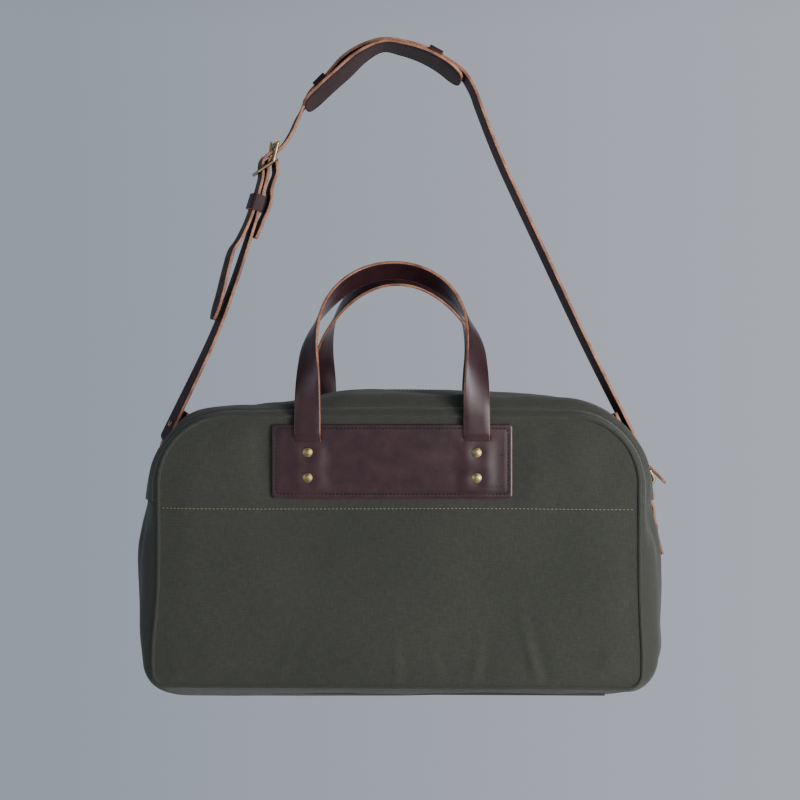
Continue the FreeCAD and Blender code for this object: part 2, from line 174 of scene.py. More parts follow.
def canvas_material(name, dark, light, thread_mm=0.75):
    """Plain woven canvas: crossing threads from the UVs (metres), uneven yarns, fading and lint."""
    n = Nodes(name)
    uv = n.add("TexCoord").outputs["UV"]
    place = n.add("TexCoord").outputs["Object"]
    turns = 2 * math.pi / (thread_mm * MM) / 20.0
    warp = n.texture("TexWave", uv, bands_direction="X", Scale=turns, Distortion=0.8, Detail=1.0)
    weft = n.texture("TexWave", uv, bands_direction="Y", Scale=turns, Distortion=0.8, Detail=1.0)
    weave = n.math("MULTIPLY", warp.outputs["Fac"], weft.outputs["Fac"])
    yarns = []
    for stretch in ((620.0, 110.0, 1.0), (110.0, 620.0, 1.0)):
        scaled = n.texture("Mapping", uv, Scale=stretch)
        yarn = n.texture("TexNoise", scaled.outputs["Vector"], Scale=1.0, Detail=2.0, Roughness=0.6)
        yarns.append(n.ramp(yarn.outputs["Fac"], 0.8, 1.2, 0.33, 0.67))
    slub = n.texture("TexNoise", place, Scale=900.0, Detail=2.0, Roughness=0.6)
    fade = n.texture("TexNoise", place, Scale=7.0, Detail=3.0, Roughness=0.5)
    colour = n.ramp(fade.outputs["Fac"], dark, light, 0.3, 0.72)
    for yarn in yarns:
        colour = n.mix(0.7, colour, yarn, "MULTIPLY")
    pepper = n.ramp(slub.outputs["Fac"], 0.75, (1.25, 1.25, 1.22), 0.36, 0.66)
    colour = n.mix(0.6, colour, pepper, "MULTIPLY")
    threads = n.ramp(weave, 0.7, (1.15, 1.15, 1.13), 0.05, 0.7)
    n.surface("Base Color", n.mix(0.8, colour, threads, "MULTIPLY"))
    n.surface("Roughness", n.ramp(slub.outputs["Fac"], 0.76, 0.95))
    n.surface("Sheen Weight", 0.15)
    n.surface("Sheen Roughness", 0.5)
    fine = n.bump(weave, 0.5, 0.0005)
    n.surface("Normal", n.bump(slub.outputs["Fac"], 0.3, 0.0004, fine))
    return n.material


def leather_material(name, dark, light, roughness, grain=0.35, specular=0.5):
    """Smooth oiled leather: fine pebble grain, pull-up clouds and small scuffs."""
    n = Nodes(name)
    place = n.add("TexCoord").outputs["Object"]
    cloud = n.texture("TexNoise", place, Scale=22.0, Detail=3.0, Roughness=0.5)
    pebble = n.texture("TexVoronoi", place, Scale=1100.0, feature="SMOOTH_F1")
    scuff = n.texture("TexNoise", place, Scale=75.0, Detail=4.0, Roughness=0.6)
    base = n.ramp(cloud.outputs["Fac"], dark, light, 0.32, 0.72)
    marks = n.ramp(scuff.outputs["Fac"], 0.88, (1.22, 1.16, 1.14), 0.4, 0.72)
    n.surface("Base Color", n.mix(0.8, base, marks, "MULTIPLY"))
    n.surface("Roughness", n.ramp(scuff.outputs["Fac"], roughness - 0.04, roughness + 0.07))
    n.surface("Specular IOR Level", specular)
    fine = n.bump(pebble.outputs["Distance"], grain, 0.0003)
    n.surface("Normal", n.bump(cloud.outputs["Fac"], 0.15, 0.002, fine))
    return n.material


def edge_material():
    """The raw, waxed, copper brown cut edge of the leather, with fibres along it."""
    n = Nodes("leather_edge")
    place = n.add("TexCoord").outputs["Object"]
    fibre = n.texture("TexNoise", place, Scale=700.0, Detail=4.0, Roughness=0.7)
    wear = n.texture("TexNoise", place, Scale=60.0, Detail=3.0)
    base = n.ramp(wear.outputs["Fac"], (0.21, 0.085, 0.048), (0.45, 0.205, 0.12), 0.35, 0.65)
    flecks = n.ramp(fibre.outputs["Fac"], (0.6, 0.55, 0.5), 1.15, 0.35, 0.6)
    n.surface("Base Color", n.mix(0.8, base, flecks, "MULTIPLY"))
    n.surface("Roughness", 0.55)
    n.surface("Normal", n.bump(fibre.outputs["Fac"], 0.4, 0.0003))
    return n.material


def metal_material(name, dark, light, roughness):
    """Aged cast metal: tarnish clouds in the colour and fine scratches in the gloss."""
    n = Nodes(name)
    place = n.add("TexCoord").outputs["Object"]
    cloud = n.texture("TexNoise", place, Scale=180.0, Detail=5.0, Roughness=0.65)
    scratch = n.texture("TexNoise", place, Scale=1400.0, Detail=2.0)
    n.surface("Base Color", n.ramp(cloud.outputs["Fac"], dark, light, 0.3, 0.65))
    n.surface("Metallic", 1.0)
    n.surface("Roughness", n.ramp(cloud.outputs["Fac"], roughness + 0.18, roughness - 0.08))
    n.surface("Normal", n.bump(scratch.outputs["Fac"], 0.12, 0.0002))
    return n.material


def thread_material(name, colour):
    """Waxed sewing thread, with its twist."""
    n = Nodes(name)
    twist = n.texture("TexNoise", n.add("TexCoord").outputs["Object"], Scale=1800.0, Detail=2.0)
    n.surface("Base Color", n.ramp(twist.outputs["Fac"], tuple(c * 0.7 for c in colour), colour))
    n.surface("Roughness", 0.7)
    n.surface("Normal", n.bump(twist.outputs["Fac"], 0.3, 0.0002))
    return n.material


CANVAS = canvas_material("canvas", (0.028, 0.0305, 0.0228), (0.036, 0.0385, 0.029))
TAPE = canvas_material("zip_tape", (0.016, 0.017, 0.014), (0.028, 0.029, 0.024), 0.6)
LINING = canvas_material("lining", (0.10, 0.085, 0.06), (0.14, 0.12, 0.085), 0.7)
LEATHER = leather_material("leather", (0.0245, 0.0083, 0.0108), (0.039, 0.0143, 0.0178), 0.30, 0.05)
BRIDLE = leather_material("bridle_leather", (0.024, 0.0097, 0.0107), (0.041, 0.0168, 0.0178), 0.58, 0.05,
                          specular=0.3)
EDGE = edge_material()
BRASS = metal_material("brass", (0.16, 0.115, 0.05), (0.50, 0.39, 0.19), 0.34)
THREAD_TAN = thread_material("thread_tan", (0.24, 0.21, 0.135))
THREAD_OLIVE = thread_material("thread_olive", (0.12, 0.113, 0.078))
# near-black thread; on the patch its darkness is partly painted shade for the stitch holes, and on the strap
# it is the painted shade of the punched holes
THREAD_AND_HOLE_SHADE = thread_material("thread_and_hole_shade", (0.006, 0.004, 0.004))
BOARD = leather_material("board", (0.02, 0.02, 0.02), (0.03, 0.03, 0.03), 0.6)


# ---- mesh helpers; points are in millimetres ----
def add_mesh(name, points, faces, materials, slots=None, uvs=None, smooth=True):
    mesh = bpy.data.meshes.new(name)
    mesh.from_pydata((np.asarray(points, float) * MM).tolist(), [], faces)
    for material in materials:
        mesh.materials.append(material)
    if slots is not None:
        mesh.polygons.foreach_set("material_index", slots)
    mesh.polygons.foreach_set("use_smooth", [smooth] * len(mesh.polygons))
    if uvs is not None:
        layer = mesh.uv_layers.new(name="weave")
        corners = np.empty(len(mesh.loops), np.int32)
        mesh.loops.foreach_get("vertex_index", corners)
        layer.data.foreach_set("uv", (np.asarray(uvs)[corners] * MM).ravel())
    mesh.validate()
    obj = bpy.data.objects.new(name, mesh)
    bpy.context.collection.objects.link(obj)
    return obj


def join_parts(name, parts, materials):
    """One mesh from several (points, faces, slot) groups."""
    points, faces, slots = [], [], []
    for group, group_faces, slot in parts:
        start = len(points)
        points.extend(group)
        faces.extend([tuple(i + start for i in face) for face in group_faces])
        slots.extend([slot] * len(group_faces) if isinstance(slot, int) else slot)
    return add_mesh(name, points, faces, materials, slots)


def apply_modifiers(obj):
    graph = bpy.context.evaluated_depsgraph_get()
    mesh = bpy.data.meshes.new_from_object(obj.evaluated_get(graph))
    obj.modifiers.clear()
    obj.data = mesh
    return obj


def thicken(obj, millimetres, inside_slot=0):
    """Cloth thickness, away from the visible side."""
    modifier = obj.modifiers.new("cloth", "SOLIDIFY")
    modifier.thickness = millimetres * MM
    modifier.offset = -1
    modifier.material_offset = inside_slot
    return apply_modifiers(obj)


def grid_mesh(name, points, materials, slot_of=None, uvs=None, flip=False):
    """points is rows x columns x 3."""
    rows, columns = points.shape[:2]
    faces, slots = [], []
    for i, j, face in grid_faces(rows, columns):
        faces.append(face[::-1] if flip else face)
        slots.append(slot_of(i, j) if slot_of else 0)
    flat_uv = None if uvs is None else uvs.reshape(-1, 2)
    return add_mesh(name, points.reshape(-1, 3), faces, materials, slots, flat_uv)


def unit(v):
    return v / np.linalg.norm(v, axis=-1, keepdims=True)


def ripple(points, scale, seed):
    """Smooth noise from -1 to 1 at each point."""
    return np.array([noise.noise(Vector(p) / scale + Vector((seed, seed * 0.7, -seed))) for p in points])


def ease(t):
    """0 below 0, 1 above 1, and a smooth step between."""
    t = np.clip(t, 0.0, 1.0)
    return t * t * (3 - 2 * t)


def bell(value, centre, width):
    return np.exp(-((value - centre) / width) ** 2)


def distances(points, weights=1.0):
    """The length run along a line at each of its points."""
    steps = np.linalg.norm(np.diff(points, axis=0), axis=1) * weights
    return np.concatenate(([0.0], np.cumsum(steps)))


def at_distance(points, travel, where):
    return np.array([np.interp(where, travel, points[:, k]) for k in range(points.shape[1])]).T


def repeat(vector, points):
    """The same direction at every point of a line."""
    return np.tile(np.array(vector, float), (len(points), 1))


def ring_faces(rings, count, closed=False, start=0):
    """Quads between rings of count points each, one ring after another."""
    faces = []
    for i in range(rings if closed else rings - 1):
        a, b = start + i * count, start + (i + 1) % rings * count
        for k in range(count):
            n = (k + 1) % count
            faces.append((a + k, a + n, b + n, b + k))
    return faces


def grid_faces(rows, columns):
    """(row, column, quad) of every cell of a grid."""
    for i in range(rows - 1):
        for j in range(columns - 1):
            a = i * columns + j
            yield i, j, (a, a + 1, a + columns + 1, a + columns)


# ---- leather strips ----
def strip_section(width, thick):
    """A rounded strap section: (across, up) points, and which faces are cut edge."""
    w, t = width / 2, thick / 2
    c = min(0.9, t * 0.5)
    ring = [(-w, -t + c), (-w + c * 0.4, -t + c * 0.25), (-w + c * 1.2, -t)]
    ring += [(x * w, -t) for x in (-0.5, 0.0, 0.5)]
    ring += [(w - c * 1.2, -t), (w - c * 0.4, -t + c * 0.25), (w, -t + c), (w, t - c),
             (w - c * 0.4, t - c * 0.25), (w - c * 1.2, t)]
    ring += [(x * w, t) for x in (0.5, 0.0, -0.5)]
    ring += [(-w + c * 1.2, t), (-w + c * 0.4, t - c * 0.25), (-w, t - c)]
    edge = [0, 7, 8, 9, 16, 17]
    return np.array(ring), edge


def frames_along(points, sides):
    along = np.empty_like(points)
    along[1:-1] = points[2:] - points[:-2]
    along[0] = points[1] - points[0]
    along[-1] = points[-1] - points[-2]
    along = unit(along)
    across = unit(sides - along * np.sum(sides * along, axis=1, keepdims=True))
    return along, across, np.cross(along, across)


def strip_parts(points, sides, width, thick, widths=None, closed=False):
    """Faces of one strip with cut edges as slot 1 and grain faces as slot 0."""
    along, across, normal = frames_along(points, sides)
    if closed:
        along = unit(np.roll(points, -1, 0) - np.roll(points, 1, 0))
        normal = np.cross(along, across)
    ring, edge = strip_section(width, thick)
    count = len(ring)
    verts = []
    for i, p in enumerate(points):
        scale = 1.0 if widths is None else widths[i]
        for a, u in ring:
            verts.append(p + across[i] * a * scale + normal[i] * u)
    faces = ring_faces(len(points), count, closed)
    slots = [1 if j in edge else 0 for j in range(count)] * (len(faces) // count)
    if not closed:
        faces.append(tuple(range(count))[::-1])
        faces.append(tuple(range((len(points) - 1) * count, len(points) * count)))
        slots += [1, 1]
    return verts, faces, slots


def leather_strip(name, points, sides, width, thick, widths=None, face=BRIDLE):
    verts, faces, slots = strip_parts(points, sides, width, thick, widths)
    return add_mesh(name, verts, faces, [face, EDGE], slots)


# along the stitch from -1 to 1, share of its radius, lift in diameters
STITCH_RINGS = ((-1.0, 0.35, -0.2), (-0.8, 0.9, 0.0), (0.0, 1.0, 0.12), (0.8, 0.9, 0.0), (1.0, 0.35, -0.2))


def stitches(points, sides, ups, pitch, length, radius):
    """Small raised stitches along a line: each is a short six-sided capsule."""
    travel = distances(points)
    verts, faces = [], []
    for mark in np.arange(pitch / 2, travel[-1] - pitch / 2, pitch):
        ends = [at_distance(points, travel, mark + s * length / 2) for s in (-1, 1)]
        index = min(int(np.searchsorted(travel, mark)), len(points) - 1)
        side, up = sides[index], ups[index]
        start = len(verts)
        middle = (ends[0] + ends[1]) / 2
        for t, r, lift in STITCH_RINGS:
            centre = middle + (ends[1] - middle) * t + up * lift * radius * 2
            for k in range(6):
                a = k * math.pi / 3
                verts.append(centre + side * math.cos(a) * radius * r + up * math.sin(a) * radius * r)
        faces += ring_faces(len(STITCH_RINGS), 6, start=start)
        faces.append(tuple(start + k for k in range(6))[::-1])
        faces.append(tuple(start + 24 + k for k in range(6)))
    return verts, faces, 0


def turned_profile(profile, centre, axis, count=24):
    """A lathe shape: profile of (radius, height) along axis from centre."""
    axis = unit(np.array(axis, float))
    helper = np.array((0.0, 0.0, 1.0)) if abs(axis[2]) < 0.9 else np.array((1.0, 0.0, 0.0))
    a = unit(np.cross(axis, helper))
    b = np.cross(axis, a)
    verts = []
    for r, h in profile:
        for k in range(count):
            t = 2 * math.pi * k / count
            verts.append(centre + axis * h + a * r * math.cos(t) + b * r * math.sin(t))
    faces = ring_faces(len(profile), count)
    faces.append(tuple(range(count))[::-1])
    faces.append(tuple((len(profile) - 1) * count + k for k in range(count)))
    return verts, faces, 0


# ---- the bag's surface ----
def section(y):
    return [float(np.interp(abs(y), KEYS_Y, KEYS[:, k])) for k in range(6)]


def smooth_section(y):
    """The section with its corners between keys rounded off."""
    if abs(y) > 106:
        return section(y)
    near = [section(abs(abs(y) + d)) for d in (-9, -4.5, 0, 4.5, 9)]
    return [sum(column) / 5 for column in zip(*near)]


def resample(points, weights, count):
    """Points spaced evenly by weighted length."""
    travel = distances(points, weights)
    return at_distance(points, travel, np.linspace(0, travel[-1], count))


LOW_COUNT, HIGH_COUNT = 100, 110


def outline_points(y):
    """Points round the bag at y, from the bottom middle, up the right side, over the top, down the left.
    The same column is always at the height of the cross seam."""
    half, top, bottom, shoulder, corner, crown = smooth_section(y)
    turn = np.linspace(0, math.pi / 2, 60)
    foot = np.column_stack((half - corner + corner * np.sin(turn),
                            bottom + corner - corner * np.cos(turn)))
    foot = np.vstack(((0.0, bottom), foot, (half, SEAM_Z)))
    low_weights = np.concatenate(([1.0], np.full(59, 2.5), [1.0]))
    arc = np.column_stack((half - shoulder + shoulder * np.cos(turn),
                           top - shoulder + shoulder * np.sin(turn)))
    flat = np.linspace(half - shoulder, 0.0, 50)
    crest = np.column_stack((flat, top + crown * (1 - (flat / (half - shoulder)) ** 2)))
    head = np.vstack((arc, crest[1:]))
    if arc[0, 1] < SEAM_Z:
        low = arc[arc[:, 1] < SEAM_Z]
        cross = np.array((np.interp(SEAM_Z, arc[:, 1], arc[:, 0]), SEAM_Z))
        foot = np.vstack((foot[:-1], low, cross))
        low_weights = np.concatenate((low_weights, np.ones(len(low))))
        head = np.vstack((cross, head[len(low):]))
    else:
        head = np.vstack(((half, SEAM_Z), head))
    lower = resample(foot, low_weights, LOW_COUNT)
    upper = resample(head, 1.0, HIGH_COUNT)
    right = np.vstack((lower[:-1], upper))
    left = right[-2:0:-1] * np.array((-1.0, 1.0))
    around = np.vstack((right, left))
    return sag(around, y)


def sag(around, y):
    """How the soft bag leaves its plain outline; the seams beside the big panels only flare."""
    x, z = around[:, 0].copy(), around[:, 1].copy()
    near_end = ease((np.abs(x) - 180) / 60)
    loose = ease((112 - abs(y)) / 20)
    fill = ease((-535 - z) / 70.0) * ease((65 - abs(y)) / 37.0) * ease((np.abs(x) - 150) / 100)
    flare = bell(z, -655, 48.0) * ease((abs(y) - 80) / 35.0) * near_end
    around[:, 0] += np.sign(x) * (fill * 5.0 + flare * np.where(x < 0, 6.0, 3.0))
    nip = bell(z, -500, 40.0) * near_end * ease((abs(y) - 22) / 35.0) * ease((112 - abs(y)) / 14)
    around[:, 0] -= np.sign(x) * nip * np.where(x < 0, 6.5, 9.5)
    at_left = ease((-x - 190) / 60) * loose
    slack = ease((-x - 45) / 80) * (1 - 0.75 * ease((-x - 175) / 55))
    around[:, 1] -= 8.5 * slack * ease((z + 485) / 60) * loose
    around[:, 0] += at_left * (1.5 * ease((z + 518) / 25) + 3.0 * bell(z, -660, 24.0))
    around[:, 1] += 3.0 * ease((x + 60) / 200) * ease((-640 - z) / 50) * loose
    return around


SEAM_COLUMN = LOW_COUNT - 1    # of the right cross seam
SEAM_OUTLINE = outline_points(HALF_DEPTH)
GUSSET_Y = np.concatenate((np.linspace(0.6, 12.0, 5), np.linspace(13.0, 106.5, 22), (110.0, 113.0, 115.0)))


def gusset_surface():
    """rows: each y from the front seam to the back seam; columns: round the outline."""
    ys = np.concatenate((-GUSSET_Y[::-1], GUSSET_Y))
    rings = []
    for y in ys:
        outline = outline_points(y)
        ring = np.column_stack((BAG_X + outline[:, 0], np.full(len(outline), y), outline[:, 1]))
        rings.append(ring)
    surface = np.array(rings)
    du = np.roll(surface, -1, 1) - np.roll(surface, 1, 1)
    dv = np.gradient(surface, axis=0)
    normal = unit(np.cross(dv, du))
    flat = surface.reshape(-1, 3)
    depth = np.abs(surface[:, :, 1])
    x, z = surface[:, :, 0] - BAG_X, surface[:, :, 2]
    soft = (ripple(flat, 85.0, 3.1) * 2.8 + ripple(flat, 34.0, 7.7) * 1.0).reshape(z.shape)
    wander = ripple(flat, 60.0, 1.3).reshape(z.shape)
    calm = ease((HALF_DEPTH - depth) / 22.0) * ease((depth - 10) / 26.0)
    flat_base = 1 - 0.75 * ease((-696 - z) / 5.0)
    at_end = ease((np.abs(x) - 200) / 60)
    puckers = np.sin(surface[:, :, 1] / 6.0 + wander * 3.0) * bell(z, -530, 30.0) * at_end
    folds = np.sin(surface[:, :, 1] / 9.0 + wander * 3.0) * bell(z, -640, 45.0) * at_end
    at_top = ease((z + 432) / 30.0) * (1 + 0.35 * np.sin(x / 41.0 + wander * 2))
    roll = 3.2 * bell(depth, 93, 11.0) - 2.0 * bell(depth, 66, 14.0)
    push = soft * calm * flat_base + (folds * 1.7 + puckers * 1.3) * calm + roll * at_top + 1.0
    return surface + normal * push[:, :, None], ys


def perimeter_uv(surface):
    """UVs in millimetres along the outline and across it."""
    return np.dstack((repeat(distances(surface[len(surface) // 2]), surface), surface[:, :, 1]))


def closed_columns(surface):
    return np.concatenate((surface, surface[:, :1]), axis=1)


def build_gusset():
    surface, ys = gusset_surface()
    surface = closed_columns(surface)
    uv = perimeter_uv(surface)
    columns = surface.shape[1]
    first = SEAM_COLUMN
    last = columns - 1 - first
    # the part below the cross seams, all round the base
    order = list(range(last, columns)) + list(range(1, first + 1))
    lower_uv = uv[:, order].copy()
    lower_uv[:, columns - last:, 0] += uv[0, -1, 0]
    lower = grid_mesh("gusset_lower", surface[:, order], [CANVAS, LINING], uvs=lower_uv, flip=True)
    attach(thicken(lower, 2.0, 1), "bag")
    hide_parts("base_panel", "left_end_panel", "right_end_panel")

    # the seam allowance beside each top piping
    for side, sign in SIDES:
        rows = [r for r, y in enumerate(ys) if y * sign >= HINGE_Y - 0.1]
        obj = grid_mesh(side + "_seam_strip", surface[rows][:, first:last + 1], [CANVAS, LINING],
                        uvs=uv[rows][:, first:last + 1], flip=True)
        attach(thicken(obj, 2.0, 1), "bag")
        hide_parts(side + "_facing")

    # the four opening quarters, with the sunken zip tape beside the teeth
    for side, sign in SIDES:
        rows = [r for r, y in enumerate(ys) if 0 < y * sign <= HINGE_Y + 0.1]
        part = surface[rows][:, first:last + 1].copy()
        y = np.abs(part[:, :, 1])
        normal = unit(np.cross(np.gradient(part, axis=0), np.gradient(part, axis=1)))
        raised = 3.0 * ease((y - 9.5) / 3.0) - 0.2
        part += normal * (raised * ease((HINGE_Y - y) / 12.0))[:, :, None]
        tape = [abs(ys[r]) < 12.5 for r in rows]
        slots = [2 if here and after else 0 for here, after in zip(tape, tape[1:])]
        lip = grid_mesh(side + "_mouth", part, [CANVAS, LINING, TAPE], lambda i, j: slots[i],
                        uv[rows][:, first:last + 1], flip=True)
        thicken(lip, 1.6, 0)
        for hand, toward in (("right", 1), ("left", -1)):
            obj = half_of(lip, side + "_" + hand + "_mouth", toward)
            open_with_lip(obj)
            if hand == "right":
                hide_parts(side + "_lip")
            if side == "front":
                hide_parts(hand + "_zip_corner")
        bpy.data.objects.remove(lip)
    return surface, ys, first, last


def half_of(whole, name, sign):
    """The right or left half of a mesh, cut at the bag's middle, with no rim along the cut."""
    mesh = whole.data.copy()
    cut = bmesh.new()
    cut.from_mesh(mesh)
    other = [face for face in cut.faces if (face.calc_center_median().x - BAG_X * MM) * sign < 0]
    bmesh.ops.delete(cut, geom=other, context="FACES")
    cut.to_mesh(mesh)
    cut.free()
    obj = bpy.data.objects.new(name, mesh)
    bpy.context.collection.objects.link(obj)
    return obj


def weld(obj):
    join = bmesh.new()
    join.from_mesh(obj.data)
    bmesh.ops.remove_doubles(join, verts=join.verts, dist=0.00002)
    join.to_mesh(obj.data)
    join.free()
    return obj


def open_with_lip(obj):
    """Bakes the piece's placement into its mesh; the piece is not bent."""
    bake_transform(obj)


def zip_teeth(line, hand, sign):
    """One row of metal teeth; the other side's row is half a tooth further on."""
    travel = distances(line)
    marks = np.arange(6.0 if hand == "right" else 1.5, travel[-1] - 1.0, 2.6)
    marks = marks + (1.3 if sign > 0 else 0.0)
    verts, faces = [], []
    for mark in marks:
        p, q = at_distance(line, travel, mark), at_distance(line, travel, mark + 0.5)
        if np.allclose(p, q):
            continue
        along = unit(q - p)
        up = np.array((-along[2], 0.0, along[0]))
        up = up if np.dot(up, p - np.array((BAG_X, 0, TOP_CENTRE_Z))) > 0 else -up
        start = len(verts)
        for dy, half, low, high in ((0.9, 0.62, -1.2, 0.5), (-0.2, 0.75, -1.3, 0.7), (-2.6, 0.55, -1.2, 0.2)):
            for du, h in ((-half, low), (half, low), (half, high), (-half, high)):
                verts.append(p + along * du + up * h + np.array((0.0, -sign * dy, 0.0)))
        faces += ring_faces(3, 4, start=start)
        faces.append((start + 3, start + 2, start + 1, start))
        faces.append((start + 8, start + 9, start + 10, start + 11))
    return verts, faces


def build_zip(surface, ys, first, last):
    """Two rows of metal teeth that meet in the middle, and the stitched edge of the canvas beside them."""
    middle = (first + last) // 2
    centre = (surface[len(ys) // 2 - 1] + surface[len(ys) // 2]) / 2
    for side, sign in SIDES:
        for hand, lo, hi in (("right", first, middle), ("left", middle, last)):
            teeth = add_mesh(side + "_" + hand + "_teeth", *zip_teeth(centre[lo:hi + 1], hand, sign), [BRASS],
                             smooth=False)
            open_with_lip(teeth)
            if hand == "right":
                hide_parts(side + "_lip_teeth")
            if side == "front":
                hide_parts(hand + "_zip_teeth")

            edge_line = surface[int(np.argmin(np.abs(ys - sign * 15.0))), lo:hi + 1]
            ups = unit(edge_line * np.array((1.0, 0.0, 1.0)) - np.array((BAG_X, 0.0, TOP_CENTRE_Z)))
            lifted = edge_line + ups * 3.1
            group = stitches(lifted, repeat((0, 1, 0), lifted), ups, 4.2, 2.8, 0.42)
            seam = join_parts(side + "_" + hand + "_zip_stitches", [group], [THREAD_OLIVE])
            open_with_lip(seam)


# creases up from the foot: place, lean, depth, height; dents: x, z, depth, half width, half height
CREASES = ((-2, 0.1, 1.8, 30), (42, -0.2, 1.0, 34), (79, 0.1, 2.6, 30), (144, -0.25, 3.0, 52),
           (205, 0.45, 2.0, 60), (-120, 0.3, 1.2, 40), (-212, -0.5, 2.0, 55))
DENTS = ((-122, -440, -2.6, 9, 30), (-150, -445, 1.8, 16, 34), (172, -424, -2.2, 18, 13),
         (200, -440, 2.0, 18, 20), (232, -466, -2.2, 10, 24), (-190, -470, 1.5, 30, 26))


def panel_relief(x, z, flat, sign):
    """How far a big panel stands out: filled softly, pressed flat under the patch, creased at its foot."""
    shape = x.shape
    fill = 3.0 + ripple(flat, 130.0, 5.0 + sign).reshape(shape) * 4.2
    fill = fill + ripple(flat, 48.0, 9.0 + sign).reshape(shape) * 1.2
    under_patch = ease((z + 520) / 40.0) * ease((150 - np.abs(x - PATCH_X)) / 30.0)
    relief = fill * (1 - under_patch) - 0.6 * under_patch
    wander = ripple(flat, 50.0, 2.0 + sign).reshape(shape)
    for place, lean, depth, tall in CREASES:
        centre = BAG_X + place + lean * (z + 684) * 0.8 + wander * 6
        height = bell(z, -680, tall)
        relief = relief + 1.35 * depth * height * (bell(x, centre, 4.5) - 0.6 * bell(x, centre + 9, 7.0))
    for px, pz, depth, wide, tall in DENTS:
        relief = relief + depth * bell(x, px, wide) * bell(z, pz, tall)
    return relief + 0.8 * bell(z, STITCH_Z + 4, 3.0) - 0.9 * bell(z, STITCH_Z, 1.6)


def build_panel(side, sign):
    """The front or back panel, a fan of rings from its middle to the seam, and its contrast stitches."""
    outline = SEAM_OUTLINE
    middle = np.array((0.0, (outline[:, 1].max() + outline[:, 1].min()) / 2))
    rings = np.concatenate((np.linspace(0.0, 0.86, 44), (0.9, 0.935, 0.96, 0.98, 0.992, 1.0)))
    rows = []
    for t in rings:
        flat = middle + (outline - middle) * t
        rows.append(np.column_stack((BAG_X + flat[:, 0], np.full(len(flat), sign * HALF_DEPTH), flat[:, 1])))
    points = closed_columns(np.array(rows))
    flat = points.reshape(-1, 3)
    inside = ease((1 - rings) / 0.13)[:, None] * np.ones(points.shape[1])
    x, z = points[:, :, 0], points[:, :, 2]
    points[:, :, 1] += sign * panel_relief(x, z, flat, sign) * inside
    uv = np.dstack((x, z))
    obj = weld(grid_mesh(side + "_panel_cloth", points, [CANVAS, LINING], uvs=uv, flip=(sign < 0)))
    thicken(obj, 2.0, 1)
    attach(obj, "bag")
    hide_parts(side + "_panel", side + "_inner_panel")

    xs = np.linspace(BAG_X - 245, BAG_X + 245, 180)
    ys = [points[:, :, 1].ravel()[np.argmin((x - px) ** 2 + (z - STITCH_Z) ** 2)] for px in xs]
    ys = np.convolve(np.pad(ys, 2, mode="edge"), np.ones(5) / 5, mode="valid")
    line = np.column_stack((xs, ys + sign * 0.35, STITCH_Z + 0.5 * np.sin(xs / 60.0)))
    up = repeat((0, sign, 0), line)
    across = repeat((0, 0, 1), line)
    seam = join_parts(side + "_contrast_stitches", [stitches(line, across, up, 4.1, 2.6, 0.45)], [THREAD_TAN])
    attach(seam, "bag")


def tube(points, radius, count=10):
    """A round cord of cloth along a closed line in a plane of constant y."""
    along = unit(np.roll(points, -1, 0) - np.roll(points, 1, 0))
    out = np.cross(along, repeat((0, 1, 0), points))
    verts = []
    for p, o in zip(points, out):
        for k in range(count):
            a = 2 * math.pi * k / count
            verts.append(p + o * math.cos(a) * radius + np.array((0.0, math.sin(a) * radius, 0.0)))
    uvs = [(d, k * 2 * math.pi * radius / count) for d in distances(points) for k in range(count)]
    return verts, ring_faces(len(points), count, closed=True), np.array(uvs)


def build_piping(side, sign):
    """The welt round each big panel."""
    line = np.column_stack((BAG_X + SEAM_OUTLINE[:, 0], np.full(len(SEAM_OUTLINE), sign * (HALF_DEPTH + 0.2)),
                            SEAM_OUTLINE[:, 1]))
    line[:, 1] += ripple(line, 25.0, 4.0 + sign) * 0.4
    verts, faces, uvs = tube(line, 1.9)
    obj = add_mesh(side + "_welt", verts, faces, [CANVAS], uvs=uvs)
    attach(obj, "bag")
    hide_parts(side + "_piping")


# ---- leather on the bag ----
def rounded_loop(x0, x1, z0, z1, r, steps=7):
    corners = ((x1 - r, z1 - r, 0), (x0 + r, z1 - r, 90), (x0 + r, z0 + r, 180), (x1 - r, z0 + r, 270))
    loop = []
    for cx, cz, start in corners:
        for i in range(steps + 1):
            a = math.radians(start + 90 * i / steps)
            loop.append((cx + r * math.cos(a), cz + r * math.sin(a)))
    return loop


def even_lines(stops, pitch):
    """Grid lines that pass through every stop, about one pitch apart."""
    lines = [stops[0]]
    for a, b in zip(stops[:-1], stops[1:]):
        count = max(1, round((b - a) / pitch))
        lines += [a + (b - a) * k / count for k in range(1, count + 1)]
    return np.array(lines)


def patch_relief(x, z):
    """How far the leather stands out over the handle ends, less round each rivet and along the stitches."""
    relief = np.zeros_like(x)
    for leg in (-1, 1):
        dx = x - PATCH_X - leg * LEG_HALF
        relief += 1.5 * np.exp(-(dx / 17.0) ** 4 - ((z + 458) / 27.0) ** 4)
        for rivet_z in RIVET_HEIGHTS:
            relief -= 1.1 * np.exp(-((dx / 8.5) ** 2 + ((z - rivet_z) / 8.5) ** 2))
    edge = np.minimum(PATCH_W / 2 - np.abs(x - PATCH_X),
                      PATCH_H / 2 - np.abs(z - PATCH_TOP_Z + PATCH_H / 2))
    relief -= 0.55 * bell(edge, STITCH_INSET, 1.1)
    relief += 0.5 * np.sin((x - PATCH_X) / 33.0) * ease(edge / 20.0)
    return relief - 0.5 * (1 - ease(edge / 1.5))


